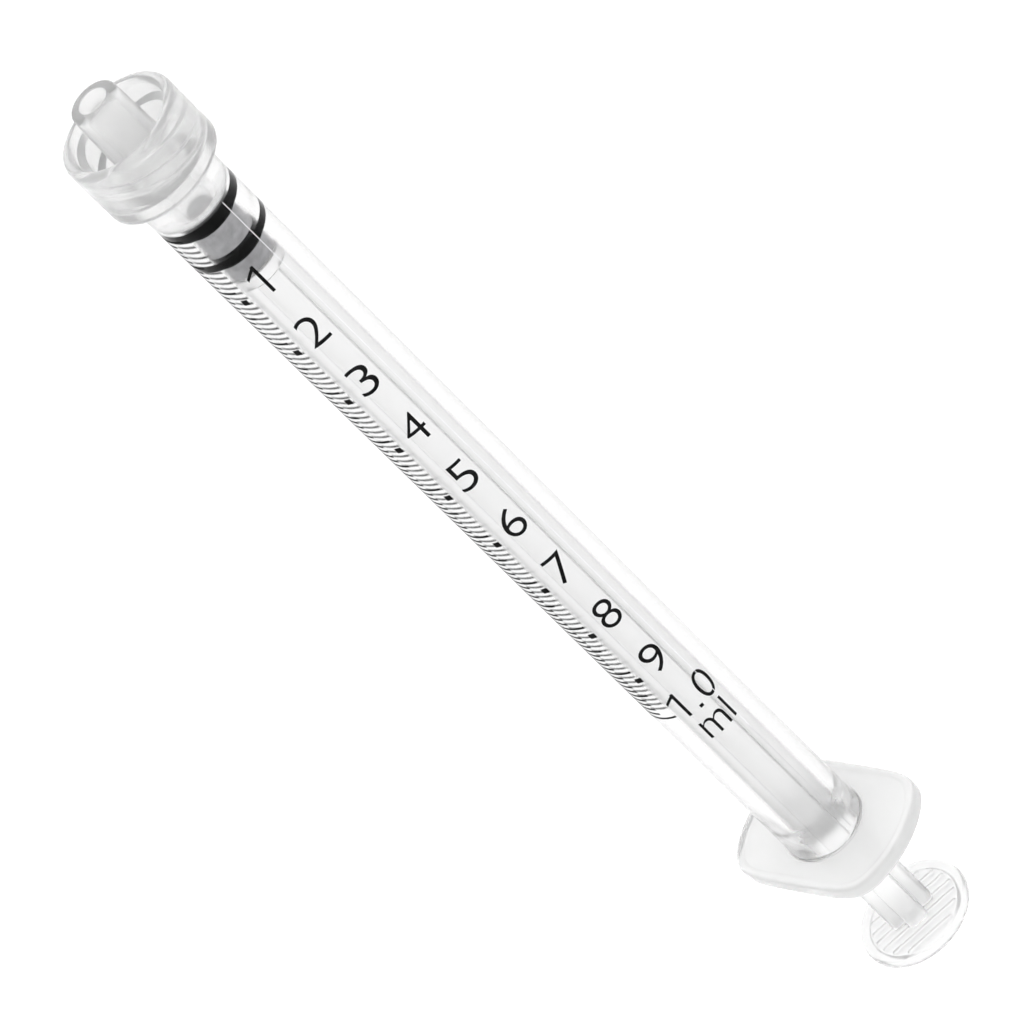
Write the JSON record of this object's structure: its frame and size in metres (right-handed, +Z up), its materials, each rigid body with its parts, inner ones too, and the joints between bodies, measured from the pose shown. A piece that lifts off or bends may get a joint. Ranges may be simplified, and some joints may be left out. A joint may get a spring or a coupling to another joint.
{
  "type": "oral syringe",
  "caption": "Clear one-millilitre syringe with a locking collar round its tip cone, a printed scale, a ribbed plunger rod with a thumb disc and a two-lip rubber seal.",
  "frame": {"origin": "below the middle of the length, on the plane that the flat side of the finger flange rests on", "axes": "+X along the syringe's axis towards the luer tip, +Z up, out of the flat side of the flange, +Y across the long way of the flange"},
  "size_m": [0.1104, 0.0168, 0.0116],
  "materials": {
    "clear_barrel": "clear moulded polypropylene, smooth",
    "scale_ink": "black printed ink",
    "seal_rubber": "dark grey rubber with a film of silicone oil",
    "clear_rod": "slightly milky moulded polypropylene, smooth"
  },
  "bodies": {
    "barrel": {"barrel": "clear_barrel", "scale_marks": "scale_ink"},
    "seal": {"plunger_seal": "seal_rubber"},
    "rod": {"plunger_rod": "clear_rod"}
  },
  "joints": [
    {"name": "plunger_slide", "type": "slide", "parent": "barrel", "child": "seal", "axis": [-1, 0, 0], "range_m": [0, 0.076]},
    {"name": "rod_turn", "type": "hinge", "parent": "seal", "child": "rod", "pos_m": [0.0387, 0, 0.0058], "axis": [-1, 0, 0], "continuous": true}
  ]
}
